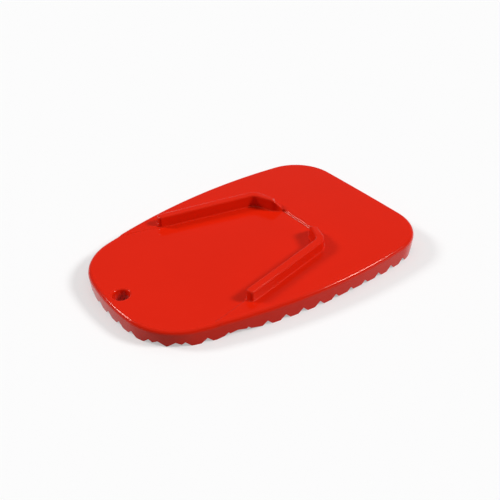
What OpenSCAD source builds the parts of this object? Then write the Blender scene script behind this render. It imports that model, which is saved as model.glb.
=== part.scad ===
// Kickstand foot enlarger: one moulded pad with a foot pocket, two guide ribs,
// a cord hole through the nose and a studded underside.
// Frame: +X from the nose to the wide end, +Z up, origin on the ground under the middle of the pad.

/* [Outline] */
// Length from the nose to the wide end
pad_l = 135; // [115:1:160]
// Width at the widest place
pad_w = 91.2; // [84:0.2:104]
// Distance from the nose to the widest place
widest_at = 88; // [76:1:96]
// Radius of the nose's front edge
nose_r = 98; // [70:1:200]
// Radius of the nose's two corners
nose_corner_r = 25; // [18:0.2:30]
// Radius of the long sides
side_r = 236; // [160:2:300]
// Radius of the wide end's edge
end_r = 1500; // [600:50:3000]
// Radius of the wide end's two corners
end_corner_r = 20.4; // [12:0.2:28]

/* [Plate] */
// Height of the raised land above the ground
land_h = 8.4; // [7:0.1:12]
// Depth of the foot pocket below the land
pocket_d = 1; // [0.6:0.1:2]
// Rounding of the plate's top edge
edge_r = 1.8; // [1:0.1:2.5]
// Draft of the outer wall in degrees
wall_draft = 4; // [1:0.5:5]

/* [Pocket] */
// Width of the land outside the ribs' front ends
side_land = 6; // [4:0.1:9]
// Width between the ribs at the pocket's inner corners
back_w = 43; // [36:0.2:46]
// Width between the feet of the two returns' ramps
gap_w = 19; // [15:0.2:24]
// Width of the straight step across the pocket's closed end
step_w = 20; // [14:0.5:24]
// Distance from the nose to the ribs' front ends
rib_start = 42.5; // [38:0.5:50]
// Distance from the nose to the inner corners
corner_at = 87.9; // [82:0.1:89]
// Distance from the nose to the pocket's closed end
pocket_end = 94.6; // [93:0.1:95.5]
// Distance from the nose to the tips of the returns
tip_at = 91.8; // [90:0.1:93]
// Radius of the pocket's inner corners
corner_r = 4; // [1:0.1:5]
// Radius where the pocket's slants meet its closed end
end_blend_r = 3; // [1:0.5:6]

/* [Ribs] */
// Height of the ribs above the land
rib_h = 4.6; // [3:0.25:7]
// Length of the ramps that end the returns
ramp_l = 4.8; // [2:0.1:6]
// Thickness of the ribs at their foot
rib_t = 4; // [3.4:0.1:6]
// Draft of the ribs' faces in degrees
rib_draft = 2.5; // [1:0.5:3]
// Rounding of the ribs' top edges
rib_edge_r = 0.9; // [0.4:0.1:0.9]
// Radius of the ribs' upright corners at the top
rib_corner_r = 0.4; // [0.2:0.1:0.4]
// Rounding at the foot of the ribs
foot_r = 0.6; // [0.3:0.1:0.9]

/* [Cord hole] */
// Diameter of the cord hole
hole_d = 6; // [4:0.5:8]
// Distance from the nose to the hole's centre
hole_at = 6.4; // [6:0.1:11]
// Rounding of the hole's rim
hole_rim_r = 0.7; // [0.3:0.1:1]

/* [Studs] */
// Pitch of the studs along the pad
stud_pitch_x = 7.9; // [7:0.1:10]
// Pitch of the studs across the pad
stud_pitch_y = 7.8; // [7.5:0.1:11]
// Distance from the nose to the first cross groove
first_groove = 6.1; // [4:0.1:8]
// Depth of the grooves between the studs
groove_d = 2; // [1.5:0.1:3.5]
// Width of the grooves at the ground
groove_w = 4.8; // [3:0.1:6]

/* [Hidden] */
pad_colour = "#DC2610";
// Distance by which a chord of the outline may miss its arc
arc_miss = 0.06;
// Chords in a rounded top edge, in a small fillet and in an upright corner
edge_steps = 4;
fillet_steps = 3;
corner_steps = 5;
// Distances by which cutters pass what they cut, closely and at the far side
over = 1;
far = 2;
// Overlap of surfaces that meet at a slant, and depth of the ribs' roots under the floor
root = 0.3;
deep = 0.6;
// Distance by which the pocket's step stands back from the ribs' faces
set_back = 0.3;
// Height by which the nose's rounding passes the floor, so that the two meet in a clean edge
crease = 0.03;
// Height by which the lengthwise grooves' lands pass the studs' tips
row_relief = 0.05;

floor_h = land_h - pocket_d;
rib_top = land_h + rib_h;
nose_x = -pad_l / 2;
end_x = pad_l / 2;

function polar(r, a) = [r * cos(a), r * sin(a)];
function heading(from, to) = atan2(to.y - from.y, to.x - from.x);
function flip(p) = [p.x, -p.y];
function unit(v) = v / norm(v);
function at_height(points, z) = [for (p = points) [p.x, p.y, z]];

// Solid through rings of as many points each, listed from the bottom to the top
module loft(rings) {
    n = len(rings[0]);
    m = len(rings);
    walls = [
        for (k = [0:m - 2], i = [0:n - 1])
            let (j = (i + 1) % n, a = k * n, b = a + n)
            each [[a + i, b + i, b + j], [a + i, b + j, a + j]]
    ];
    bottom = [for (i = [0:n - 1]) i];
    top = [for (i = [n - 1:-1:0]) (m - 1) * n + i];
    polyhedron([for (r = rings) each r], concat([bottom], walls, [top]), convexity = 10);
}

// Centre of an arc of radius r that lies inside two arcs and touches both
function blend_centre(c1, r1, c2, r2, r, side) =
    let (
        reach1 = r1 - r,
        reach2 = r2 - r,
        apart = norm(c2 - c1),
        along = (c2 - c1) / apart,
        m = (reach1 ^ 2 - reach2 ^ 2 + apart ^ 2) / (2 * apart),
        h = sqrt(reach1 ^ 2 - m ^ 2)
    )
    c1 + m * along + side * h * [-along.y, along.x];

// Arcs of the outline on the +Y side, from the nose to the wide end
nose_c = [nose_x + nose_r, 0];
side_c = [nose_x + widest_at, pad_w / 2 - side_r];
end_c = [end_x - end_r, 0];
nose_corner_c = blend_centre(nose_c, nose_r, side_c, side_r, nose_corner_r, -1);
end_corner_c = blend_centre(end_c, end_r, side_c, side_r, end_corner_r, 1);
nose_dir = heading(nose_c, nose_corner_c);
side_from = heading(side_c, nose_corner_c);
side_to = heading(side_c, end_corner_c);
end_dir = heading(end_c, end_corner_c);

// Points of an arc of nominal radius r, set inwards by inset, without its last point
function arc(c, r, from, to, inset) =
    let (n = max(2, ceil(r * abs(to - from) * PI / 180 / sqrt(8 * r * arc_miss))))
    [for (i = [0:n - 1]) c + polar(r - inset, from + (to - from) * i / n)];

// The plate's outline, set inwards by inset
function outline(inset) =
    let (
        half = concat(
            arc(nose_c, nose_r, 180, nose_dir, inset),
            arc(nose_corner_c, nose_corner_r, nose_dir, side_from, inset),
            arc(side_c, side_r, side_from, side_to, inset),
            arc(end_corner_c, end_corner_r, side_to, end_dir, inset),
            arc(end_c, end_r, end_dir, 0, inset)
        ),
        tip = [end_x - inset, 0]
    )
    concat(half, [tip], [for (i = [len(half) - 1:-1:1]) flip(half[i])]);

// Closed ring through sections, each a loop of as many points
module ring_loft(loops) {
    n = len(loops[0]);
    m = len(loops);
    polyhedron([for (r = loops) each r], [
        for (k = [0:m - 1], i = [0:n - 1])
            let (j = (i + 1) % n, a = k * n, b = (k + 1) % m * n)
            each [[a + i, b + i, b + j], [a + i, b + j, a + j]]
    ], convexity = 10);
}

// Height of the rim: the pocket's floor where the pocket opens through it, the land elsewhere
function rim_top(p) =
    p.x < mouth.x && cross(run, [p.x, abs(p.y)] - mouth) < 0 ? floor_h + crease : land_h;

// The wall leans inwards towards the ground. Its foot stands back from the outline by this much
wall_lean = tan(wall_draft);
touch_drop = edge_r * (1 + sin(wall_draft));
foot_inset = edge_r * (1 - cos(wall_draft)) + (land_h - touch_drop) * wall_lean;
function wall_inset(z) = foot_inset - z * wall_lean;

// Cutter that runs all round the plate and leaves its drafted wall and rounded top edge
module edge_cutter() {
    tops = [for (p = outline(0)) rim_top(p)];
    turn = 90 + wall_draft;
    slope = tan(turn / edge_steps / 2);
    // Ring at a distance inwards and below the rim. A lower rim stands back with the leaning wall
    function at_rim(inset, drop) = [
        for (i = [0:len(tops) - 1])
            let (p = outline(inset + (land_h - tops[i]) * wall_lean)[i])
            [p.x, p.y, tops[i] - drop]
    ];
    centre_inset = wall_inset(land_h - touch_drop) + edge_r * cos(wall_draft);
    rounding = [
        for (i = [0:edge_steps])
            let (a = -wall_draft + turn * i / edge_steps)
            at_rim(centre_inset - edge_r * cos(a), edge_r * (1 - sin(a)))
    ];
    past = centre_inset + root;
    ring_loft(concat(
        [at_height(outline(-far), -far), at_height(outline(wall_inset(-far)), -far)],
        rounding,
        [at_rim(past, -root * slope), at_rim(past, -far), at_rim(-far, -far)]
    ));
}

// Outline through corners with their radii, set inwards by inset. Convex corners get tighter
// as it moves inwards and hollow ones wider, so all its offsets have parallel sides
function rounded(corners, radii, inset, steps = corner_steps) =
    let (n = len(corners))
    [
        for (i = [0:n - 1])
            let (
                p = corners[i],
                before = unit(p - corners[(i + n - 1) % n]),
                after = unit(corners[(i + 1) % n] - p),
                turn = atan2(cross(before, after), before * after),
                hand = sign(turn),
                left = [-before.y, before.x],
                c = p - before * radii[i] * tan(abs(turn) / 2) + left * radii[i] * hand,
                from = heading([0, 0], -left * hand)
            )
            for (s = [0:steps])
                c + polar(radii[i] - hand * inset, from + turn * s / steps)
    ];

// Plan of the pocket and of the rib on the +Y side. The ribs' front ends keep their distance
// from the outline's long side
start_x = nose_x + rib_start;
mouth = [start_x, side_c.y + sqrt(side_r ^ 2 - (start_x - side_c.x) ^ 2) - side_land - rib_t];
corner = [nose_x + corner_at, back_w / 2];
tip = [nose_x + tip_at, gap_w / 2];
closed = [nose_x + pocket_end, step_w / 2];
run = unit(corner - mouth);
back = unit(tip - corner);
run_left = [-run.y, run.x];
back_left = [-back.y, back.x];
miter = tan((heading([0, 0], run) - heading([0, 0], back)) / 2);
past_tip = tip + back * far;

// Outline of the rib, its pocket side first. The return goes on past the ramp's foot
rib_corners = [
    mouth,
    corner,
    past_tip,
    past_tip + back_left * rib_t,
    corner + run_left * rib_t + run * rib_t * miter,
    mouth + run_left * rib_t
];

// Wedge that cuts the return's end to a ramp, from the rib's top down to the pocket's floor
module ramp_cutter() {
    fall = rib_top - floor_h;
    tail = ramp_l * over / fall;
    width = 2 * (rib_t + foot_r + over);
    translate([tip.x, tip.y, floor_h])
    rotate([90, 0, heading(corner, tip)])
    linear_extrude(2 * width, center = true)
    polygon([
        [tail, -over],
        [width, -over],
        [width, fall + over],
        [-ramp_l - tail, fall + over]
    ]);
}

module rib() {
    crown_inset = rib_h * tan(rib_draft);
    end_r = rib_corner_r + rib_edge_r + crown_inset;
    radii = [end_r, corner_r, end_r, end_r, corner_r + rib_t, end_r];
    // The foot stands on the floor along the pocket and on the land elsewhere
    base = [for (i = [0:5]) each [for (s = [0:corner_steps]) i < 3 ? floor_h : land_h]];
    function foot_ring(inset, h) =
        let (ring = rounded(rib_corners, radii, inset))
        [for (i = [0:len(ring) - 1]) [ring[i].x, ring[i].y, base[i] + h]];
    first_slope = tan(90 / fillet_steps / 2);
    foot = [
        for (i = [0:fillet_steps])
            let (a = 90 * i / fillet_steps)
            foot_ring(-foot_r * (1 - sin(a)), foot_r * (1 - cos(a)))
    ];
    crown = [
        for (i = [0:fillet_steps])
            let (a = 90 * i / fillet_steps)
            at_height(
                rounded(rib_corners, radii, crown_inset + rib_edge_r * (1 - cos(a))),
                rib_top - rib_edge_r * (1 - sin(a))
            )
    ];
    spread = foot_r + root / first_slope;
    difference() {
        loft(concat(
            [at_height(rounded(rib_corners, radii, -spread), floor_h - deep)],
            [foot_ring(-spread, -root)],
            foot,
            crown
        ));
        ramp_cutter();
    }
}

// Cutter for the pocket: it flares at the land's edge and leaves a fillet on the floor
module pocket() {
    step_r = pocket_d / 2;
    out = mouth - run * (rib_start + far) / run.x;
    side = [out, corner, closed];
    corners = concat([for (p = side) flip(p)], [for (i = [2:-1:0]) side[i]]);
    radii = [pocket_d, corner_r, end_blend_r, end_blend_r, corner_r, pocket_d];
    function ring(inset, z) = at_height(rounded(corners, radii, inset - set_back), z);
    floor_rings = [
        for (i = [0:fillet_steps])
            let (a = 90 * i / fillet_steps)
            ring(step_r * (1 - sin(a)), floor_h + step_r * (1 - cos(a)))
    ];
    edge_rings = [
        for (i = [1:fillet_steps])
            let (a = 90 * i / fillet_steps)
            ring(-step_r * (1 - cos(a)), land_h - step_r * (1 - sin(a)))
    ];
    loft(concat(floor_rings, edge_rings, [ring(-step_r, land_h + over)]));
}

// Cord hole with its rounded rim
module cord_hole() {
    hole_r = hole_d / 2;
    translate([nose_x + hole_at, 0, 0]) {
        translate([0, 0, -over])
        cylinder(r = hole_r, h = land_h + 2 * over, $fn = 64);
        translate([0, 0, floor_h - hole_rim_r])
        rotate_extrude($fn = 64)
        difference() {
            square([hole_r + hole_rim_r, hole_rim_r + over]);
            translate([hole_r + hole_rim_r, 0])
            circle(hole_rim_r, $fn = 32);
        }
    }
}

// Section of the grooved underside: flat tips at height tip between V-shaped grooves
module toothed(centres, from, to, tip) {
    half = groove_w / 2 * (1 - tip / groove_d);
    polygon(concat(
        [[from, rib_top + over], [from, tip]],
        [for (c = centres) each [[c - half, tip], [c, groove_d], [c + half, tip]]],
        [[to, tip], [to, rib_top + over]]
    ));
}

// Plate with upright sides, oversize all round. The studs are what two sets of grooves leave
module studded_slab() {
    cross = [for (x = first_groove; x < pad_l + groove_w / 2; x = x + stud_pitch_x) nose_x + x];
    rows = ceil((pad_w + groove_w) / 2 / stud_pitch_y);
    along = [for (i = [-rows:rows]) i * stud_pitch_y];
    intersection() {
        translate([0, 0, -over])
        linear_extrude(land_h + over)
        polygon(outline(-over));
        rotate([90, 0, 0])
        linear_extrude(pad_w + 2 * far, center = true)
        toothed(cross, nose_x - far, cross[len(cross) - 1] + stud_pitch_x, 0);
        rotate([90, 0, 90])
        linear_extrude(pad_l + 2 * far, center = true)
        toothed(along, along[0] - stud_pitch_y, along[len(along) - 1] + stud_pitch_y, -row_relief);
    }
}

module pad() {
    color(pad_colour)
    difference() {
        union() {
            difference() {
                studded_slab();
                pocket();
            }
            rib();
            mirror([0, 1, 0])
            rib();
        }
        edge_cutter();
        cord_hole();
    }
}

pad();
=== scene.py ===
"""Kickstand foot enlarger: one glossy red moulding with a foot pocket, two ribs and a studded
underside.

Every size is in metres, in the frame of the CAD part: +X from the nose to the wide end, +Z up,
with the origin on the ground under the middle of the pad.
"""

import math
from collections import namedtuple

import bmesh
import bpy
import numpy as np
from bpy.props import FloatProperty, FloatVectorProperty, PointerProperty
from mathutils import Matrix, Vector


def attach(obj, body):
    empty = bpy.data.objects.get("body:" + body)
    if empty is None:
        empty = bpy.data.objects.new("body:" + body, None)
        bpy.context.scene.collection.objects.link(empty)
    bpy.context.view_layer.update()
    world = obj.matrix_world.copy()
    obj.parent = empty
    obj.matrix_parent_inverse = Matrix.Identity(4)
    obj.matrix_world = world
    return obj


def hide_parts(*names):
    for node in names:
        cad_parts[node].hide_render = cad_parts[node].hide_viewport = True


bl_info = {
    "name": "Kickstand foot enlarger",
    "version": (1, 0, 0),
    "blender": (4, 5, 0),
    "location": "View3D > Sidebar > Foot enlarger",
    "description": "Moulds a studded kickstand pad and sets up a studio for it",
    "category": "Add Mesh",
}

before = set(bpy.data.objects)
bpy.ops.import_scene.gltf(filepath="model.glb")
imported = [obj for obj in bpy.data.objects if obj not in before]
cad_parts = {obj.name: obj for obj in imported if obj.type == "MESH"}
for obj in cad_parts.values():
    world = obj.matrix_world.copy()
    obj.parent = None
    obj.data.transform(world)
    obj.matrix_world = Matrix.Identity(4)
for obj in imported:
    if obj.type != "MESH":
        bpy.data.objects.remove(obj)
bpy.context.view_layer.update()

PAD = "moulded_pad"

# Distance by which a cutter passes the surface that it cuts, and by which one passes the whole pad
OVER = 0.001
FAR = 0.002
# Depth to which a fillet goes on below the surface that it meets
ROOT = 0.0003
# Height by which the nose's rounding passes the pocket's floor, so that they meet in a clean edge
CREASE = 0.00003

# Longest chord of the outline's arcs
CHORD = 0.0009
# Chords in the rounded top edge, in a small fillet, in an upright corner and round the hole
EDGE_STEPS = 12
FILLET_STEPS = 6
CORNER_STEPS = 10
HOLE_STEPS = 96
# Points between a return's bend and its tip
RETURN_STEPS = 30
# Share of a return's ramp over which it bends at its top, to either side
RAMP_BEND = 0.25

# Points closer than this are merged, faces that turn less than FLAT_ANGLE are joined, and edges
# that turn more than CRISP_ANGLE stay crisp
MERGE_DISTANCE = 0.000001
FLAT_ANGLE = math.radians(0.02)
CRISP_ANGLE = math.radians(28)

# Refractive index of ABS, and finer layers of noise in its swirls and in its orange peel
ABS_IOR = 1.53
SWIRL_DETAIL = 3.0
PEEL_DETAIL = 1.0
# Half the floor's width, and the nearest distance that the camera shows
FLOOR_REACH = 3.0
NEAREST = 0.01
# Heights of a direction, 0 being level and 1 upright, between which the tent's pale skirting
# passes into its walls, and its walls into its roof
SKIRTING_TOP, WALL_FOOT = 0.06, 0.12
WALL_TOP, ROOF_FOOT = 0.6, 0.85

# Places of a Mix node's inputs, whose names aren't unique, and of its mixed colour
FACTOR, FIRST_NUMBER, SECOND_NUMBER, FIRST_COLOUR, SECOND_COLOUR = 0, 2, 3, 6, 7
MIXED_COLOUR = 2


def linear(code):
    """Linear RGB of an sRGB hex colour."""
    values = [int(code[i : i + 2], 16) / 255 for i in (1, 3, 5)]
    return [v / 12.92 if v <= 0.04045 else ((v + 0.055) / 1.055) ** 2.4 for v in values]


def length(name, description, default):
    return FloatProperty(
        name=name, description=description, default=default, min=0, unit="LENGTH", precision=5
    )


def angle(name, description, degrees):
    return FloatProperty(
        name=name, description=description, default=math.radians(degrees), unit="ROTATION"
    )


def number(name, description, default):
    return FloatProperty(name=name, description=description, default=default, min=0)


def colour(name, description, code):
    return FloatVectorProperty(
        name=name,
        description=description,
        default=linear(code),
        subtype="COLOR",
        size=3,
        min=0,
        max=1,
    )


class PlateSizes(bpy.types.PropertyGroup):
    length: length("Length", "From the nose to the wide end", 0.135)
    width: length("Width", "At the widest place", 0.0912)
    widest_at: length("Widest at", "From the nose to the widest place", 0.088)
    nose_radius: length("Nose radius", "Radius of the nose's front edge", 0.098)
    nose_corner_radius: length("Nose corner radius", "Radius of the nose's two corners", 0.025)
    side_radius: length("Side radius", "Radius of the long sides", 0.236)
    end_radius: length("End radius", "Radius of the wide end's edge", 1.5)
    end_corner_radius: length("End corner radius", "Radius of the wide end's two corners", 0.0204)
    land_height: length("Land height", "Height of the raised land above the ground", 0.0084)
    edge_radius: length("Edge radius", "Rounding of the plate's top edge", 0.0018)
    wall_draft: angle("Wall draft", "Lean of the outer wall", 4)
    slope: angle("Slope", "Rise of the top from the nose to the wide end", 0.53)
    true_at: length(
        "True at", "From the nose to where the slope leaves every height as it is", 0.0879
    )


class PocketSizes(bpy.types.PropertyGroup):
    depth: length("Depth", "Depth of the pocket's closed end below the land", 0.001)
    nose_depth: length(
        "Nose depth", "Depth of the pocket's floor at the nose below the land", 0.0002
    )
    side_land: length("Side land", "Width of the land outside the ribs' front ends", 0.006)
    back_width: length("Back width", "Width between the inner corners", 0.043)
    knee_width: length("Knee width", "Width between the bends of the two returns", 0.0235)
    gap_width: length("Gap width", "Width between the feet of the two returns' ramps", 0.0192)
    step_width: length("Step width", "Width of the straight step at the closed end", 0.02)
    rib_start: length("Rib start", "From the nose to the ribs' front ends", 0.0425)
    corner_at: length("Corner at", "From the nose to the inner corners", 0.0868)
    knee_at: length("Knee at", "From the nose to the bends of the returns", 0.0911)
    tip_at: length("Tip at", "From the nose to the feet of the returns' ramps", 0.0954)
    pocket_end: length("Closed end", "From the nose to the pocket's closed end", 0.0940)
    corner_radius: length("Corner radius", "Radius of the inner corners", 0.004)
    end_blend_radius: length(
        "End blend radius", "Radius where the slants meet the closed end", 0.003
    )
    set_back: length("Set-back", "Distance of the step behind the ribs' faces", 0.0009)
    step_slope: angle("Step slope", "Steepest slope of the step, halfway up", 70)


class RibSizes(bpy.types.PropertyGroup):
    height: length("Height", "Height above the land", 0.0046)
    ramp_length: length("Ramp length", "Length of the ramps that end the returns", 0.0052)
    thickness: length("Thickness", "Thickness at the foot", 0.004)
    draft: angle("Draft", "Lean of the faces", 2.5)
    edge_radius: length("Edge radius", "Rounding of the top edges", 0.0009)
    corner_radius: length("Corner radius", "Radius of the upright corners at the top", 0.0004)
    knee_radius: length("Knee radius", "Radius of the returns' bends on the outside", 0.002)
    foot_radius: length("Foot radius", "Rounding at the foot", 0.0006)


class HoleSizes(bpy.types.PropertyGroup):
    diameter: length("Diameter", "Diameter of the cord hole", 0.0066)
    centre_at: length("Centre at", "From the nose to the hole's centre", 0.0064)
    rim_radius: length("Rim radius", "Rounding of the hole's rim", 0.0011)


class StudSizes(bpy.types.PropertyGroup):
    pitch_along: length("Pitch along", "Pitch of the studs along the pad", 0.0079)
    pitch_across: length("Pitch across", "Pitch of the studs across the pad", 0.0078)
    first_groove: length("First groove", "From the nose to the first cross groove", 0.0064)
    groove_depth: length("Groove depth", "Depth of the V grooves", 0.0023)
    groove_width: length("Groove width", "Width of the V grooves at the ground", 0.0045)


class PlasticLook(bpy.types.PropertyGroup):
    tint: colour("Colour", "Colour of the plastic", "#DC2008")
    variation: number("Variation", "Share by which the swirls darken the colour at most", 0.06)
    swirls: number("Swirls", "Swirls in the melt per metre", 45)
    roughness: number("Roughness", "Roughness of the moulded skin", 0.15)
    mirror_tint: colour(
        "Mirror colour", "Warm cast that the tinted skin gives its reflections", "#FFCBBC"
    )
    gloss_swing: number(
        "Gloss swing", "Share by which the swirls change the roughness, up and down", 0.15
    )
    mirror: number("Mirror", "Strength of its reflections, 0.5 being full", 0.2)
    peel: number("Peel", "Waves of the skin's orange peel per metre", 600)
    peel_depth: length("Peel depth", "Depth of the orange peel", 0.000002)
    sink_depth: length("Sink depth", "Depth of the sink marks over the studs", 0.00002)


class StageLook(bpy.types.PropertyGroup):
    floor_tint: colour("Floor colour", "Colour of the floor", "#F2F2F2")
    floor_bounce: number(
        "Floor bounce", "Share of its own colour that the floor throws back onto the pad", 0.4
    )
    floor_glow: number("Floor glow", "Share of plain white in the floor that the camera sees", 0.4)
    right_strength: number("Right lamp strength", "Strength of the right lamp", 2.2)
    left_strength: number("Left lamp strength", "Strength of the left lamp", 1.6)
    lamp_spread: angle("Lamp spread", "Angle that a side lamp fills", 15)
    right_turn: angle(
        "Right lamp turn", "The right lamp's angle from the camera, round the pad", 85
    )
    right_rise: angle("Right lamp rise", "The right lamp's angle above the floor", 37)
    left_turn: angle("Left lamp turn", "The left lamp's angle from the camera, round the pad", -102)
    left_rise: angle("Left lamp rise", "The left lamp's angle above the floor", 34)
    top_light: number("Top light", "Strength of the light tent's roof", 0.7)
    wall_light: number(
        "Wall light", "Strength of the light tent's walls, which the pad's top mirrors", 0.25
    )
    azimuth: angle("Azimuth", "The camera's angle round the pad", -36.86)
    elevation: angle("Elevation", "The camera's angle above the floor", 34.76)
    distance: length("Distance", "From the camera to what it looks at", 0.3195)
    lens: number("Lens", "The camera's focal length in millimetres", 52.68)
    target: FloatVectorProperty(
        name="Target",
        description="Point that the camera looks at",
        default=(0.00302, 0.00260, 0),
        subtype="XYZ",
    )


GROUPS = {
    "pad_plate": PlateSizes,
    "pad_pocket": PocketSizes,
    "pad_ribs": RibSizes,
    "pad_hole": HoleSizes,
    "pad_studs": StudSizes,
    "pad_plastic": PlasticLook,
    "pad_stage": StageLook,
}


def directions(turns):
    """Unit vectors in plan at the given angles."""
    return np.column_stack((np.cos(turns), np.sin(turns)))


def at_height(points, z):
    """Plan points with a height, which is one number or one for each point."""
    return np.column_stack((points, np.broadcast_to(z, len(points))))


def heading(vector):
    return math.atan2(vector[1], vector[0])


def unit(vector):
    return vector / np.linalg.norm(vector)


def blend_centre(c1, r1, c2, r2, radius, side):
    """Centre of an arc that lies inside two arcs and touches both.

    Side is 1 for the one to the left of the way from c1 to c2, and -1 for the one to the right.
    """
    reach1, reach2 = r1 - radius, r2 - radius
    apart = np.linalg.norm(c2 - c1)
    along = (c2 - c1) / apart
    m = (reach1**2 - reach2**2 + apart**2) / (2 * apart)
    h = math.sqrt(reach1**2 - m**2)
    return c1 + m * along + side * h * np.array((-along[1], along[0]))


def outline(sizes, inset):
    """The plate's outline, set inwards by inset, from the nose round by +Y and back by -Y."""
    nose_x, end_x = -sizes.length / 2, sizes.length / 2
    nose = np.array((nose_x + sizes.nose_radius, 0))
    side = np.array((nose_x + sizes.widest_at, sizes.width / 2 - sizes.side_radius))
    end = np.array((end_x - sizes.end_radius, 0))
    nose_corner = blend_centre(
        nose, sizes.nose_radius, side, sizes.side_radius, sizes.nose_corner_radius, -1
    )
    end_corner = blend_centre(
        end, sizes.end_radius, side, sizes.side_radius, sizes.end_corner_radius, 1
    )
    turns = [
        math.pi,
        heading(nose_corner - nose),
        heading(nose_corner - side),
        heading(end_corner - side),
        heading(end_corner - end),
        0,
    ]
    arcs = [
        (nose, sizes.nose_radius),
        (nose_corner, sizes.nose_corner_radius),
        (side, sizes.side_radius),
        (end_corner, sizes.end_corner_radius),
        (end, sizes.end_radius),
    ]
    half = []
    for (centre, radius), start, stop in zip(arcs, turns, turns[1:]):
        count = max(2, math.ceil(radius * abs(stop - start) / CHORD))
        turn = np.linspace(start, stop, count, endpoint=False)
        half.append(centre + (radius - inset) * directions(turn))
    half = np.vstack(half)
    return np.vstack((half, [(end_x - inset, 0)], half[:0:-1] * (1, -1)))


def rounded(corners, radii, inset):
    """Outline through corners with their radii, set inwards by inset. All insets are parallel."""
    points = []
    for i, (corner, radius) in enumerate(zip(corners, radii)):
        before = unit(corner - corners[i - 1])
        after = unit(corners[(i + 1) % len(corners)] - corner)
        turn = math.atan2(before[0] * after[1] - before[1] * after[0], before @ after)
        hand = math.copysign(1, turn)
        left = np.array((-before[1], before[0])) * hand
        centre = corner - before * radius * math.tan(abs(turn) / 2) + left * radius
        turns = heading(-left) + turn * np.linspace(0, 1, CORNER_STEPS + 1)
        points.append(centre + (radius - hand * inset) * directions(turns))
    return np.vstack(points)


def quarter(steps):
    """Sines and cosines of the steps of a quarter turn."""
    turns = np.linspace(0, math.pi / 2, steps + 1)
    return list(zip(np.sin(turns), np.cos(turns)))


def lofted(name, rings, closed=False, ridge=False):
    """Closed mesh object through rings of as many points each.

    Closed joins the last ring to the first. Ridge closes the top by a strip from the first half of
    the last ring to its second half, for a long top that isn't flat.
    """
    count = len(rings[0])
    pairs = [(k, k + 1) for k in range(len(rings) - 1)]
    top = range((len(rings) - 1) * count, len(rings) * count)
    faces = [tuple(range(count)), tuple(top)]
    if closed:
        pairs.append((len(rings) - 1, 0))
        faces = []
    if ridge:
        faces.pop()
        faces += [(top[i], top[i + 1], top[-i - 2], top[-i - 1]) for i in range(count // 2 - 1)]
    for low, high in pairs:
        for i in range(count):
            j = (i + 1) % count
            faces.append((low * count + i, low * count + j, high * count + j, high * count + i))
    mesh = bpy.data.meshes.new(name)
    mesh.from_pydata(np.vstack(rings).tolist(), [], faces)
    work = bmesh.new()
    work.from_mesh(mesh)
    bmesh.ops.recalc_face_normals(work, faces=work.faces)
    work.to_mesh(mesh)
    work.free()
    made = bpy.data.objects.new(name, mesh)
    bpy.context.scene.collection.objects.link(made)
    return made


def settle(piece):
    """Makes the evaluated shape the piece's own mesh and takes its modifiers off."""
    bpy.context.view_layer.update()
    graph = bpy.context.evaluated_depsgraph_get()
    made = bpy.data.meshes.new_from_object(piece.evaluated_get(graph), depsgraph=graph)
    piece.modifiers.clear()
    old = piece.data
    piece.data = made
    bpy.data.meshes.remove(old)


def combine(piece, tool, operation):
    """Joins tool to the piece or cuts it away, and removes the tool."""
    modifier = piece.modifiers.new("combine", "BOOLEAN")
    modifier.operation, modifier.solver, modifier.object = operation, "MANIFOLD", tool
    settle(piece)
    bpy.data.objects.remove(tool)
    if not piece.data.polygons:
        raise RuntimeError(f"nothing is left of {piece.name} after {operation.lower()}")


def add_node(tree, kind, settings=None, links=None):
    """Adds a node, sets its properties and constant inputs, and links its other inputs.

    settings holds attributes by name and input values by the input's position or name.
    links holds, by the input's position or name, the output socket that feeds it.
    """
    node = tree.nodes.new(kind)
    for key, value in (settings or {}).items():
        if isinstance(key, str) and hasattr(node, key):
            setattr(node, key, value)
        else:
            node.inputs[key].default_value = value
    for key, socket in (links or {}).items():
        tree.links.new(socket, node.inputs[key])
    return node


def add_maths(tree, operation, *values):
    """Adds a Math node for numbers and sockets, and returns its output."""
    settings = {k: v for k, v in enumerate(values) if isinstance(v, (int, float))}
    links = {k: v for k, v in enumerate(values) if k not in settings}
    return add_node(tree, "ShaderNodeMath", {"operation": operation, **settings}, links).outputs[0]


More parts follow.
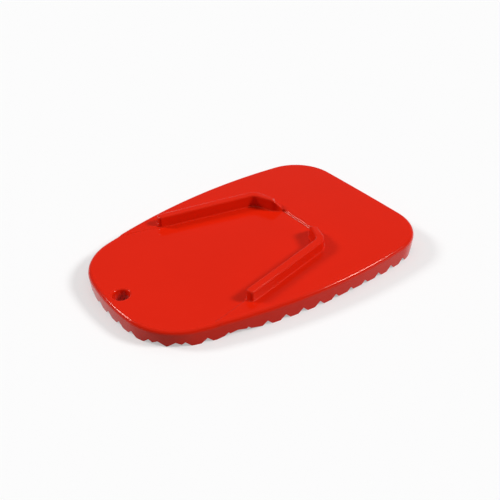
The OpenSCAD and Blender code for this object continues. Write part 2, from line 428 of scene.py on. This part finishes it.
def groove_tree():
    """Tree that cuts a row of V grooves across the underside of the mesh that it is given."""
    tree = bpy.data.node_groups.new("Row of V grooves", "GeometryNodeTree")
    face = tree.interface
    face.new_socket("Geometry", in_out="OUTPUT", socket_type="NodeSocketGeometry")
    face.new_socket("Geometry", in_out="INPUT", socket_type="NodeSocketGeometry")
    face.new_socket("Count", in_out="INPUT", socket_type="NodeSocketInt")
    for name in ("First", "Pitch", "Depth", "Width", "Run", "Overlap"):
        face.new_socket(name, in_out="INPUT", socket_type="NodeSocketFloat")
    face.new_socket("Turn", in_out="INPUT", socket_type="NodeSocketVector")
    face.new_socket("Material", in_out="INPUT", socket_type="NodeSocketMaterial")
    given = add_node(tree, "NodeGroupInput").outputs

    # A three-sided bar is 1.5 radii high and the root of 3 radii wide. It is scaled to the groove's
    # section, which goes on below the ground by the overlap
    reach = add_maths(tree, "ADD", given["Depth"], given["Overlap"])
    high = add_maths(tree, "DIVIDE", reach, 1.5)
    flare = add_maths(tree, "DIVIDE", given["Width"], given["Depth"])
    wide = add_maths(tree, "DIVIDE", add_maths(tree, "MULTIPLY", flare, reach), math.sqrt(3))
    section = {"Vertices": 3, "Radius": 1.0}
    bar = add_node(tree, "GeometryNodeMeshCylinder", section, {"Depth": given["Run"]})
    scale = add_node(tree, "ShaderNodeCombineXYZ", {"Z": 1.0}, {"X": high, "Y": wide})
    middle = add_maths(tree, "SUBTRACT", given["Depth"], high)
    lift = add_node(tree, "ShaderNodeCombineXYZ", {}, {"Z": middle})
    # The bar is laid across the pad with one edge up
    groove = add_node(
        tree,
        "GeometryNodeTransform",
        {"Rotation": (-math.pi / 2, -math.pi / 2, 0)},
        {
            "Geometry": bar.outputs["Mesh"],
            "Scale": scale.outputs[0],
            "Translation": lift.outputs[0],
        },
    )
    start = add_node(tree, "ShaderNodeCombineXYZ", {}, {"X": given["First"]})
    step = add_node(tree, "ShaderNodeCombineXYZ", {}, {"X": given["Pitch"]})
    places = add_node(
        tree,
        "GeometryNodeMeshLine",
        {},
        {"Count": given["Count"], "Start Location": start.outputs[0], "Offset": step.outputs[0]},
    )
    instances = {"Points": places.outputs[0], "Instance": groove.outputs[0]}
    row = add_node(tree, "GeometryNodeInstanceOnPoints", {}, instances)
    turning = {"Geometry": row.outputs[0], "Rotation": given["Turn"]}
    turned = add_node(tree, "GeometryNodeTransform", {}, turning)
    bars = add_node(tree, "GeometryNodeRealizeInstances", {}, {"Geometry": turned.outputs[0]})
    cut = add_node(
        tree,
        "GeometryNodeMeshBoolean",
        {"operation": "DIFFERENCE", "solver": "MANIFOLD"},
        {"Mesh 1": given["Geometry"], "Mesh 2": bars.outputs[0]},
    )
    whole = add_node(tree, "GeometryNodeRealizeInstances", {}, {"Geometry": cut.outputs[0]})
    dressing = {"Geometry": whole.outputs[0], "Material": given["Material"]}
    dressed = add_node(tree, "GeometryNodeSetMaterial", {}, dressing)
    add_node(tree, "NodeGroupOutput", {}, {0: dressed.outputs[0]})
    return tree


def cut_grooves(piece, tree, values):
    """Runs the groove tree on the piece with the values given by input name."""
    modifier = piece.modifiers.new("grooves", "NODES")
    modifier.node_group = tree
    for item in tree.interface.items_tree:
        if item.in_out == "INPUT" and item.name in values:
            modifier[item.identifier] = values[item.name]
    settle(piece)


def pad_piece():
    return bpy.data.objects[PAD]


class PAD_OT_blank(bpy.types.Operator):
    """Moulds the plate's blank, oversize all round, with the land on top"""

    bl_idname = "mesh.pad_blank"
    bl_label = "Blank"

    def execute(self, context):
        sizes = context.scene.pad_plate
        around = outline(sizes, -OVER)
        lofted(PAD, [at_height(around, 0), at_height(around, sizes.land_height)])
        return {"FINISHED"}


class PAD_OT_studs(bpy.types.Operator):
    """Cuts two sets of V grooves that leave the studs on the underside"""

    bl_idname = "mesh.pad_studs"
    bl_label = "Studs"

    def execute(self, context):
        plate, studs = context.scene.pad_plate, context.scene.pad_studs
        tree = groove_tree()
        shared = {
            "Depth": studs.groove_depth,
            "Width": studs.groove_width,
            "Run": plate.length * 2,
            "Overlap": OVER,
            "Material": plastic(context.scene.pad_plastic, studs, plate),
        }
        across = {
            "Count": math.ceil((plate.length + OVER - studs.first_groove) / studs.pitch_along),
            "First": studs.first_groove - plate.length / 2,
            "Pitch": studs.pitch_along,
            "Turn": (0, 0, 0),
        }
        cut_grooves(pad_piece(), tree, {**shared, **across})
        beside = math.ceil((plate.width / 2 + studs.groove_width) / studs.pitch_across)
        along = {
            "Count": 2 * beside + 1,
            "First": -beside * studs.pitch_across,
            "Pitch": studs.pitch_across,
            "Turn": (0, 0, math.pi / 2),
        }
        cut_grooves(pad_piece(), tree, {**shared, **along})
        return {"FINISHED"}


# Plan of the +Y side. Points: the rib's front end, the inner corner, the return's bend and its tip,
# and the end of the step across the closed end. Ways: along the rib, its return and its ramp
Plan = namedtuple("Plan", "mouth corner knee tip closed run back slip")


def plan_of(scene):
    """Works out the plan from the sizes."""
    plate, pocket = scene.pad_plate, scene.pad_pocket
    nose_x = -plate.length / 2
    before = pocket.rib_start - plate.widest_at
    bow = math.sqrt(plate.side_radius**2 - before**2) - plate.side_radius
    rib_y = plate.width / 2 + bow - pocket.side_land - scene.pad_ribs.thickness
    mouth = np.array((nose_x + pocket.rib_start, rib_y))
    corner = np.array((nose_x + pocket.corner_at, pocket.back_width / 2))
    knee = np.array((nose_x + pocket.knee_at, pocket.knee_width / 2))
    tip = np.array((nose_x + pocket.tip_at, pocket.gap_width / 2))
    closed = np.array((nose_x + pocket.pocket_end, pocket.step_width / 2))
    ways = unit(corner - mouth), unit(knee - corner), unit(tip - knee)
    return Plan(mouth, corner, knee, tip, closed, *ways)


def depth_at(scene, points):
    """Depth of the pocket at plan points: it fades out evenly towards the nose."""
    pocket = scene.pad_pocket
    share = (pocket.pocket_end - points[:, 0] - scene.pad_plate.length / 2) / pocket.pocket_end
    return pocket.depth + (pocket.nose_depth - pocket.depth) * share


def step_profile(slope):
    """Section of a step 1 high, from its foot to its top: distances outwards and heights."""
    radius = 1 / (2 - 2 * math.cos(slope))
    turns = np.linspace(0, slope, FILLET_STEPS + 1)
    out = radius * np.sin(turns) - radius * math.sin(slope)
    up = radius * (1 - np.cos(turns))
    return np.append(out, -out[-2::-1]), np.append(up, 1 - up[-2::-1])


def top_height(scene, points):
    """Height of the top at plan points near the outline: land, step or pocket floor."""
    pocket, plan = scene.pad_pocket, plan_of(scene)
    away = np.column_stack((points[:, 0], np.abs(points[:, 1]))) - plan.mouth
    outside = plan.run[0] * away[:, 1] - plan.run[1] * away[:, 0] - pocket.set_back
    share = np.interp(outside / pocket.depth, *step_profile(pocket.step_slope))
    # Behind the ribs' front ends there is only land
    share[away[:, 0] > 0] = 1
    return scene.pad_plate.land_height - (depth_at(scene, points) - CREASE) * (1 - share)


class PAD_OT_pocket(bpy.types.Operator):
    """Sinks the pocket for the stand's foot, with its step rounded at the land and at the floor"""

    bl_idname = "mesh.pad_pocket"
    bl_label = "Pocket"

    def execute(self, context):
        scene = context.scene
        land, pocket, plan = scene.pad_plate.land_height, scene.pad_pocket, plan_of(scene)
        ahead = plan.mouth - plan.run * (pocket.rib_start + FAR) / plan.run[0]
        side = np.array((ahead, plan.corner, plan.closed))
        corners = np.vstack((side * (1, -1), side[::-1]))
        radii = [pocket.corner_radius, pocket.corner_radius, pocket.end_blend_radius]
        radii += radii[::-1]
        rings = []
        for out, up in zip(*step_profile(pocket.step_slope)):
            around = rounded(corners, radii, -out * pocket.depth - pocket.set_back)
            rings.append(at_height(around, land - depth_at(scene, around) * (1 - up)))
        rings.append(at_height(around, land + OVER))
        combine(pad_piece(), lofted("pocket_cutter", rings), "DIFFERENCE")
        return {"FINISHED"}


def ramp(share):
    """Height, as a share of the whole, along a ramp that bends softly at its top."""
    short = (np.clip(1 - share, -RAMP_BEND, RAMP_BEND) + RAMP_BEND) ** 2 / (4 * RAMP_BEND)
    return np.where(share > 1 - RAMP_BEND, 1 - short, share)


class PAD_OT_ribs(bpy.types.Operator):
    """Raises the two ribs with their ramped returns, rounded on top and filleted at the foot"""

    bl_idname = "mesh.pad_ribs"
    bl_label = "Ribs"

    def execute(self, context):
        scene = context.scene
        pocket, ribs, plan = scene.pad_pocket, scene.pad_ribs, plan_of(scene)
        land = scene.pad_plate.land_height
        floor, top = land - pocket.depth, land + ribs.height
        past = plan.tip + plan.slip * FAR
        ways = (plan.run, plan.back, plan.slip)
        lefts = [np.array((-way[1], way[0])) for way in ways]
        bends = [math.tan((heading(a) - heading(b)) / 2) for a, b in zip(ways, ways[1:])]
        corners = np.array(
            (
                plan.mouth,
                plan.corner,
                plan.knee,
                past,
                past + lefts[2] * ribs.thickness,
                plan.knee + (lefts[1] + plan.back * bends[1]) * ribs.thickness,
                plan.corner + (lefts[0] + plan.run * bends[0]) * ribs.thickness,
                plan.mouth + lefts[0] * ribs.thickness,
            )
        )
        crown = ribs.height * math.tan(ribs.draft)
        end = ribs.corner_radius + ribs.edge_radius + crown
        radii = [end, pocket.corner_radius, ribs.knee_radius + ribs.thickness, end]
        radii += [end, ribs.knee_radius, pocket.corner_radius + ribs.thickness, end]
        half = len(corners) // 2 * (CORNER_STEPS + 1) + RETURN_STEPS
        share = np.linspace(0, 1, RETURN_STEPS + 2)[1:-1, None]

        def ring(inset):
            parts = np.split(rounded(corners, radii, inset), len(corners))
            for before, after in ((2, 3), (4, 5)):
                more = parts[before][-1] * (1 - share) + parts[after][0] * share
                parts[before] = np.vstack((parts[before], more))
            return np.vstack(parts)

        # The foot stands on the floor along the pocket and on the land elsewhere
        base = land - depth_at(scene, ring(0)) * np.repeat((1, 0), half)

        def raised(inset, height):
            """Ring at a height, lowered along the ramp: the top sinks and the foot stays."""
            points = ring(inset)
            up = ramp((plan.tip - points) @ plan.slip / ribs.ramp_length)
            summit = np.maximum(floor + (top - floor) * up, base - ROOT / 2)
            return at_height(points, base + (height - base) * (summit - base) / (top - base))

        foot, edge = ribs.foot_radius, ribs.edge_radius
        root = ring(-foot - ROOT / math.tan(math.pi / FILLET_STEPS / 4))
        rings = [at_height(root, floor - 2 * ROOT), at_height(root, base - ROOT)]
        turns = quarter(FILLET_STEPS)
        rings += [raised(-foot * (1 - s), base + foot * (1 - c)) for s, c in turns]
        rings += [raised(crown + edge * (1 - c), top - edge * (1 - s)) for s, c in turns]
        for side in (1, -1):
            rib = lofted("rib", [points * (1, side, 1) for points in rings], ridge=True)
            combine(pad_piece(), rib, "UNION")
        return {"FINISHED"}


class PAD_OT_edge(bpy.types.Operator):
    """Trims the blank to its drafted wall and rounds the top edge all the way round"""

    bl_idname = "mesh.pad_edge"
    bl_label = "Wall and edge"

    def execute(self, context):
        plate = context.scene.pad_plate
        lean, radius = math.tan(plate.wall_draft), plate.edge_radius
        tops = top_height(context.scene, outline(plate, radius))
        drop = radius * (1 + math.sin(plate.wall_draft))
        foot = radius * (1 - math.cos(plate.wall_draft)) + (plate.land_height - drop) * lean
        around = outline(plate, -FAR)
        rings = [at_height(around, -FAR), at_height(outline(plate, foot + FAR * lean), -FAR)]
        turn = math.pi / 2 + plate.wall_draft
        for step in range(EDGE_STEPS + 1):
            a = -plate.wall_draft + turn * step / EDGE_STEPS
            edge = outline(plate, radius - radius * math.cos(a))
            rings.append(at_height(edge, tops - radius * (1 - math.sin(a))))
        # Above the rounding the cutter leaves the top and turns back over the wall
        inside = outline(plate, radius + ROOT)
        rise = ROOT * math.tan(turn / EDGE_STEPS / 2)
        rings += [at_height(inside, tops + rise), at_height(inside, tops + FAR)]
        rings.append(at_height(around, tops + FAR))
        combine(pad_piece(), lofted("edge_cutter", rings, closed=True), "DIFFERENCE")
        return {"FINISHED"}


class PAD_OT_hole(bpy.types.Operator):
    """Cuts the cord hole with its rounded rim"""

    bl_idname = "mesh.pad_hole"
    bl_label = "Cord hole"

    def execute(self, context):
        plate, hole = context.scene.pad_plate, context.scene.pad_hole
        centre = np.array((hole.centre_at - plate.length / 2, 0))
        floor = plate.land_height - depth_at(context.scene, centre[None])[0]
        radius, rim = hole.diameter / 2, hole.rim_radius
        circle = directions(np.linspace(0, 2 * math.pi, HOLE_STEPS, endpoint=False))
        turns = quarter(FILLET_STEPS)
        profile = [(radius, -OVER)]
        profile += [(radius + rim * (1 - c), floor - rim * (1 - s)) for s, c in turns]
        mouth = radius + rim + ROOT
        rise = ROOT * math.tan(math.pi / FILLET_STEPS / 4)
        profile += [(mouth, floor + rise), (mouth, floor + OVER)]
        rings = [at_height(centre + circle * r, z) for r, z in profile]
        combine(pad_piece(), lofted("hole_cutter", rings), "DIFFERENCE")
        return {"FINISHED"}


class PAD_OT_slope(bpy.types.Operator):
    """Slopes the top a little, so that the moulding is thinner at its nose than at its wide end"""

    bl_idname = "mesh.pad_slope"
    bl_label = "Slope"

    def execute(self, context):
        plate, mesh = context.scene.pad_plate, pad_piece().data
        places = np.empty((len(mesh.vertices), 3), "f")
        mesh.vertices.foreach_get("co", places.ravel())
        beyond = places[:, 0] + plate.length / 2 - plate.true_at
        places[:, 2] *= 1 + beyond * math.tan(plate.slope) / plate.land_height
        mesh.vertices.foreach_set("co", places.ravel())
        return {"FINISHED"}


def plastic(look, studs, plate):
    """Glossy ABS, injection moulded in a polished tool.

    Its skin mirrors lamps sharply. Slow swirls in the melt vary its colour and its gloss a little,
    and faint sink marks lie over the studs, where the plate is thick.
    """
    made = bpy.data.materials.new("Glossy moulded ABS")
    made.use_nodes = True
    tree = made.node_tree
    tree.nodes.clear()
    place = add_node(tree, "ShaderNodeTexCoord").outputs["Object"]
    waves = {"Scale": look.swirls, "Detail": SWIRL_DETAIL}
    swirl = add_node(tree, "ShaderNodeTexNoise", waves, {"Vector": place}).outputs["Fac"]
    darkest = (*(v * (1 - look.variation) for v in look.tint), 1)
    tints = {"data_type": "RGBA", FIRST_COLOUR: darkest, SECOND_COLOUR: (*look.tint, 1)}
    shade = add_node(tree, "ShaderNodeMix", tints, {FACTOR: swirl})
    smoothest = look.roughness * (1 - look.gloss_swing)
    roughest = look.roughness * (1 + look.gloss_swing)
    spread = {"To Min": smoothest, "To Max": roughest}
    gloss = add_node(tree, "ShaderNodeMapRange", spread, {"Value": swirl})

    # A sink mark is deepest over the middle of a stud and fades out over the grooves
    at = add_node(tree, "ShaderNodeSeparateXYZ", {}, {0: place}).outputs
    first = studs.first_groove - plate.length / 2
    sink = look.sink_depth
    for axis, start, pitch in (("X", first, studs.pitch_along), ("Y", 0.0, studs.pitch_across)):
        turns = add_maths(tree, "DIVIDE", add_maths(tree, "SUBTRACT", at[axis], start), pitch)
        wave = add_maths(tree, "SINE", add_maths(tree, "MULTIPLY", turns, math.pi))
        sink = add_maths(tree, "MULTIPLY", add_maths(tree, "MULTIPLY", wave, wave), sink)
    waves = {"Scale": look.peel, "Detail": PEEL_DETAIL}
    ripple = add_node(tree, "ShaderNodeTexNoise", waves, {"Vector": place}).outputs["Fac"]
    height = add_maths(tree, "SUBTRACT", add_maths(tree, "MULTIPLY", ripple, look.peel_depth), sink)
    bump = add_node(tree, "ShaderNodeBump", {"Distance": 1.0, "Strength": 1.0}, {"Height": height})
    mirror = {"Specular IOR Level": look.mirror, "Specular Tint": (*look.mirror_tint, 1)}
    skin = add_node(
        tree,
        "ShaderNodeBsdfPrincipled",
        {"IOR": ABS_IOR, **mirror},
        {
            "Base Color": shade.outputs[MIXED_COLOUR],
            "Roughness": gloss.outputs[0],
            "Normal": bump.outputs[0],
        },
    )
    add_node(tree, "ShaderNodeOutputMaterial", {}, {"Surface": skin.outputs[0]})
    return made


class PAD_OT_finish(bpy.types.Operator):
    """Cleans the moulding's mesh, smooths its shading and puts it in the CAD pad's place"""

    bl_idname = "mesh.pad_finish"
    bl_label = "Finish"

    def execute(self, context):
        pad = pad_piece()
        work = bmesh.new()
        work.from_mesh(pad.data)
        bmesh.ops.remove_doubles(work, verts=work.verts, dist=MERGE_DISTANCE)
        bmesh.ops.dissolve_degenerate(work, edges=work.edges, dist=MERGE_DISTANCE)
        bmesh.ops.dissolve_limit(
            work, angle_limit=FLAT_ANGLE, verts=work.verts, edges=work.edges
        )
        for edge in work.edges:
            edge.smooth = edge.is_manifold and edge.calc_face_angle() < CRISP_ANGLE
        for face in work.faces:
            face.smooth = True
        loose = [edge for edge in work.edges if not edge.is_manifold]
        work.to_mesh(pad.data)
        work.free()
        if loose:
            raise RuntimeError(f"the pad's mesh is open at {len(loose)} edges")
        # The cutters leave empty slots, so the skin is made the only material
        skin = next(held for held in pad.data.materials if held)
        pad.data.materials.clear()
        pad.data.materials.append(skin)
        pad.modifiers.new("normals", "WEIGHTED_NORMAL").keep_sharp = True
        settle(pad)
        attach(pad, "root")
        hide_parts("pad")
        return {"FINISHED"}


def seen_ray(tree):
    """Output that is 1 for what is seen, directly, mirrored or through something, and else 0."""
    ray = add_node(tree, "ShaderNodeLightPath").outputs
    direct = add_maths(tree, "MAXIMUM", ray["Is Camera Ray"], ray["Is Glossy Ray"])
    return add_maths(tree, "MAXIMUM", direct, ray["Is Transmission Ray"])


def floor_paper(look):
    """Uncoated white paper, matte all over.

    It looks white and keeps the pad's shadow, and throws only a part of its light back.
    """
    made = bpy.data.materials.new("Matte white paper")
    made.use_nodes = True
    tree = made.node_tree
    tree.nodes.clear()
    shown = seen_ray(tree)
    dim = (*(v * look.floor_bounce for v in look.floor_tint), 1)
    tints = {"data_type": "RGBA", FIRST_COLOUR: dim, SECOND_COLOUR: (*look.floor_tint, 1)}
    tone = add_node(tree, "ShaderNodeMix", tints, {FACTOR: shown}).outputs[MIXED_COLOUR]
    sheet = add_node(tree, "ShaderNodeBsdfDiffuse", {}, {"Color": tone})
    glow = add_node(tree, "ShaderNodeEmission", {"Strength": 1.0})
    share = add_maths(tree, "MULTIPLY", shown, look.floor_glow)
    layers = {0: share, 1: sheet.outputs[0], 2: glow.outputs[0]}
    lit = add_node(tree, "ShaderNodeMixShader", {}, layers)
    add_node(tree, "ShaderNodeOutputMaterial", {}, {"Surface": lit.outputs[0]})
    return made


def light_tent(look):
    """World like a white tent lit through its roof, with dimmer walls and a pale skirting."""
    made = bpy.data.worlds.new("Light tent")
    made.use_nodes = True
    tree = made.node_tree
    tree.nodes.clear()
    way = add_node(tree, "ShaderNodeTexCoord").outputs["Generated"]
    up = add_node(tree, "ShaderNodeSeparateXYZ", {}, {0: way}).outputs["Z"]

    def passing(start, stop, before, after):
        """Value that passes from before to after between two heights."""
        limits = {"From Min": start, "From Max": stop, "To Min": before, "To Max": after}
        return add_node(tree, "ShaderNodeMapRange", limits, {"Value": up}).outputs[0]

    tent = passing(WALL_TOP, ROOF_FOOT, look.wall_light, look.top_light)
    skirting = passing(SKIRTING_TOP, WALL_FOOT, 1.0, 0.0)
    share = add_maths(tree, "MULTIPLY", skirting, seen_ray(tree))
    parts = {FACTOR: share, FIRST_NUMBER: tent}
    level = add_node(tree, "ShaderNodeMix", {SECOND_NUMBER: 1.0}, parts)
    glow = add_node(tree, "ShaderNodeBackground", {}, {"Strength": level.outputs[0]})
    add_node(tree, "ShaderNodeOutputWorld", {}, {"Surface": glow.outputs[0]})
    return made


def look_from(azimuth, elevation):
    """Unit vector from what is looked at towards the viewer."""
    flat = math.cos(elevation)
    return Vector((math.sin(azimuth) * flat, -math.cos(azimuth) * flat, math.sin(elevation)))


def put_up(scene, thing, back):
    """Puts a lamp or a camera into the scene, with its back turned the given way."""
    thing.rotation_mode = "QUATERNION"
    thing.rotation_quaternion = back.to_track_quat("Z", "Y")
    scene.collection.objects.link(thing)


class PAD_OT_stage(bpy.types.Operator):
    """Lays a pale floor and sets the soft lights and the camera"""

    bl_idname = "scene.pad_stage"
    bl_label = "Stage"

    def execute(self, context):
        scene = context.scene
        look = scene.pad_stage
        mesh = bpy.data.meshes.new("floor")
        low, high = -FLOOR_REACH, FLOOR_REACH
        corners = [(low, low, 0), (high, low, 0), (high, high, 0), (low, high, 0)]
        mesh.from_pydata(corners, [], [(0, 1, 2, 3)])
        floor = bpy.data.objects.new("floor", mesh)
        scene.collection.objects.link(floor)
        mesh.materials.append(floor_paper(look))
        scene.world = light_tent(look)

        lamps = {
            "right lamp": (look.right_strength, look.right_turn, look.right_rise),
            "left lamp": (look.left_strength, look.left_turn, look.left_rise),
        }
        for name, (strength, turn, rise) in lamps.items():
            light = bpy.data.lights.new(name, "SUN")
            light.energy, light.angle = strength, look.lamp_spread
            lamp = bpy.data.objects.new(name, light)
            put_up(scene, lamp, look_from(look.azimuth + turn, rise))

        camera = bpy.data.objects.new("camera", bpy.data.cameras.new("camera"))
        camera.data.lens, camera.data.clip_start = look.lens, NEAREST
        back = look_from(look.azimuth, look.elevation)
        camera.location = Vector(look.target) + back * look.distance
        put_up(scene, camera, back)
        scene.camera = camera
        scene.view_settings.view_transform = "Standard"
        return {"FINISHED"}


OPERATORS = [
    PAD_OT_blank,
    PAD_OT_studs,
    PAD_OT_pocket,
    PAD_OT_ribs,
    PAD_OT_edge,
    PAD_OT_hole,
    PAD_OT_slope,
    PAD_OT_finish,
    PAD_OT_stage,
]


class PAD_PT_panel(bpy.types.Panel):
    """Lists the steps that make the pad and its stage"""

    bl_label = "Foot enlarger"
    bl_idname = "PAD_PT_panel"
    bl_space_type = "VIEW_3D"
    bl_region_type = "UI"
    bl_category = "Foot enlarger"

    def draw(self, context):
        for step in OPERATORS:
            self.layout.operator(step.bl_idname)
        for name in GROUPS:
            box = self.layout.box()
            group = getattr(context.scene, name)
            for field in group.bl_rna.properties:
                if field.identifier not in ("rna_type", "name"):
                    box.prop(group, field.identifier)


def register():
    for kind in [*GROUPS.values(), *OPERATORS, PAD_PT_panel]:
        bpy.utils.register_class(kind)
    for name, kind in GROUPS.items():
        setattr(bpy.types.Scene, name, PointerProperty(type=kind))


def unregister():
    for name in GROUPS:
        delattr(bpy.types.Scene, name)
    for kind in [PAD_PT_panel, *reversed(OPERATORS), *reversed(GROUPS.values())]:
        bpy.utils.unregister_class(kind)


def main():
    register()
    for step in OPERATORS:
        family, name = step.bl_idname.split(".")
        getattr(getattr(bpy.ops, family), name)()


if __name__ == "__main__":
    main()
